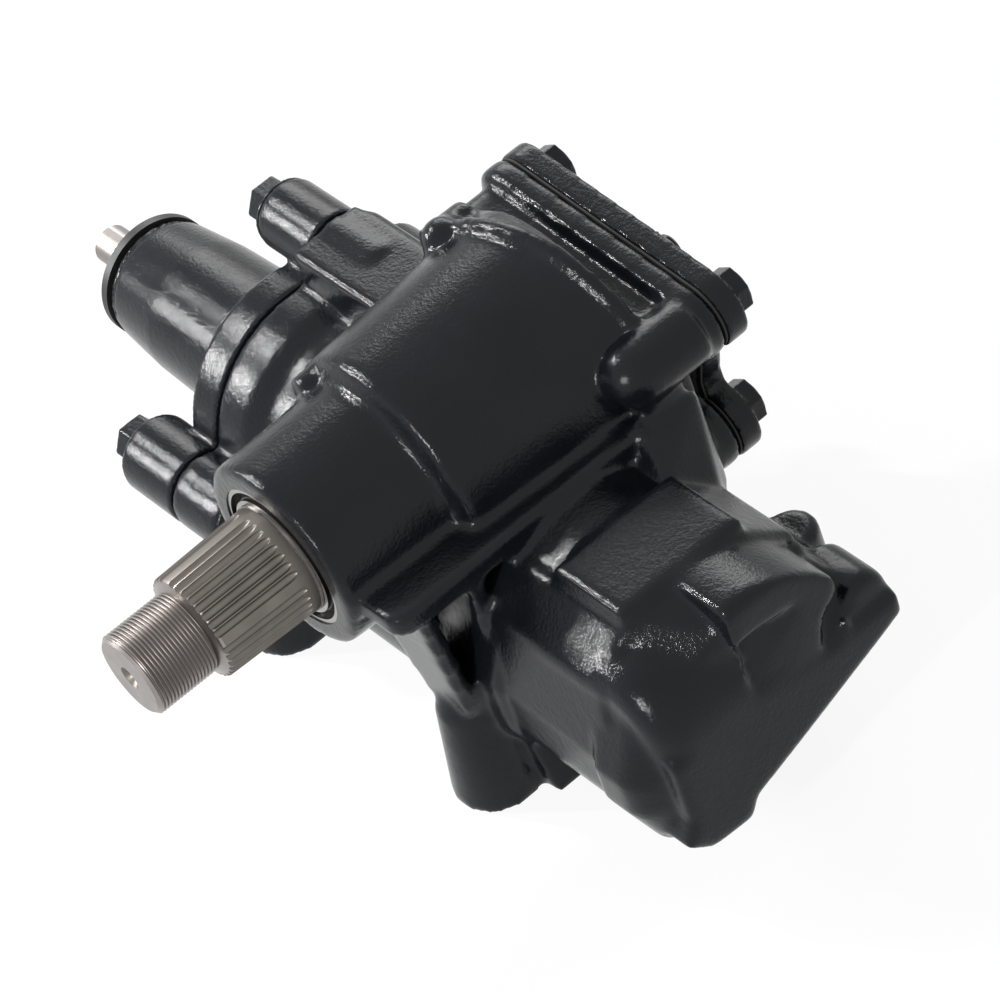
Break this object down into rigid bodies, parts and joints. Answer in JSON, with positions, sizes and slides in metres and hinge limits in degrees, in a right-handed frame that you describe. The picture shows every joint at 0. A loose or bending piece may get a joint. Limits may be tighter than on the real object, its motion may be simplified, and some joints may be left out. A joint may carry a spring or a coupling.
{
  "type": "integral power steering gearbox",
  "caption": "Recirculating-ball power steering gearbox with a splined pitman shaft, rack piston and rotary valve, bolted to a frame by four feet.",
  "frame": {"origin": "centre of the four frame bolt holes, on the plane of the mounting feet", "axes": "+X along the worm towards the closed end of the housing, +Y along the sector shaft towards the side cover, +Z away from the frame; the pitman spline points to -Y and the input shaft to -X"},
  "size_m": [0.395, 0.2558, 0.1745],
  "materials": {
    "housing_paint": "gloss black paint over rough iron casting",
    "cover_paint": "gloss black paint over a cast cover",
    "bolt_black": "black painted steel screws",
    "machined_steel": "turned and ground bare steel",
    "hardened_steel": "ground hardened steel",
    "spring_steel": "dark spring steel",
    "plated_steel": "thin bright plated steel",
    "bearing_bronze": "plain bearing bronze",
    "nitrile_rubber": "black sealing rubber",
    "ring_polymer": "filled sliding polymer",
    "gasket_fibre": "dark compressed fibre sheet"
  },
  "bodies": {
    "housing": {"main_housing": "housing_paint", "valve_housing": "housing_paint", "valve_housing_bolts": "bolt_black", "valve_housing_seal": "nitrile_rubber", "side_cover": "cover_paint", "side_cover_bolts": "bolt_black", "side_cover_gasket": "gasket_fibre", "sector_cover_bushing": "bearing_bronze", "lash_adjuster_screw": "bolt_black", "lash_adjuster_lock_nut": "bolt_black", "sector_bearing_shell": "hardened_steel", "sector_bearing_needles": "hardened_steel", "sector_backup_washer": "ring_polymer", "sector_pressure_seal": "nitrile_rubber", "sector_seal_retaining_ring": "spring_steel", "sector_dust_seal_case": "plated_steel", "sector_dust_seal_lip": "nitrile_rubber", "worm_thrust_races": "hardened_steel", "worm_thrust_bearings": "hardened_steel", "worm_bearing_retainer": "hardened_steel", "input_bearing": "hardened_steel", "input_seal": "nitrile_rubber"},
    "sector": {"sector_shaft": "machined_steel", "lash_adjuster_retainer": "hardened_steel", "sector_lip_ring": "plated_steel"},
    "rack": {"rack_piston": "machined_steel", "rack_piston_ring": "ring_polymer", "rack_piston_end_plug": "hardened_steel", "recirculating_balls": "hardened_steel", "ball_guide_front_half": "plated_steel", "ball_guide_rear_half": "plated_steel", "ball_guide_clamp": "plated_steel"},
    "worm": {"worm_shaft": "machined_steel", "valve_sleeve": "machined_steel", "valve_sleeve_rings": "ring_polymer", "torsion_bar": "spring_steel"},
    "input": {"input_shaft": "machined_steel", "input_dust_ring": "nitrile_rubber"}
  },
  "joints": [
    {"name": "sector_turn", "type": "hinge", "parent": "housing", "child": "sector", "pos_m": [0.025, 0, 0.118], "axis": [0, 1, 0], "range_deg": [-48, 48]},
    {"name": "rack_slide", "type": "slide", "parent": "housing", "child": "rack", "axis": [1, 0, 0], "range_m": [-0.021, 0.021]},
    {"name": "worm_turn", "type": "hinge", "parent": "housing", "child": "worm", "pos_m": [0, 0, 0.068], "axis": [1, 0, 0], "range_deg": [-817, 817]},
    {"name": "input_turn", "type": "hinge", "parent": "worm", "child": "input", "pos_m": [0, 0, 0.068], "axis": [1, 0, 0], "range_deg": [-4.5, 4.5], "stiffness_Nm_per_rad": 40}
  ],
  "couplings": [
    {"joint": "rack_slide", "follows": "sector_turn", "m_per_rad": -0.025},
    {"joint": "worm_turn", "follows": "sector_turn", "ratio": 17}
  ]
}
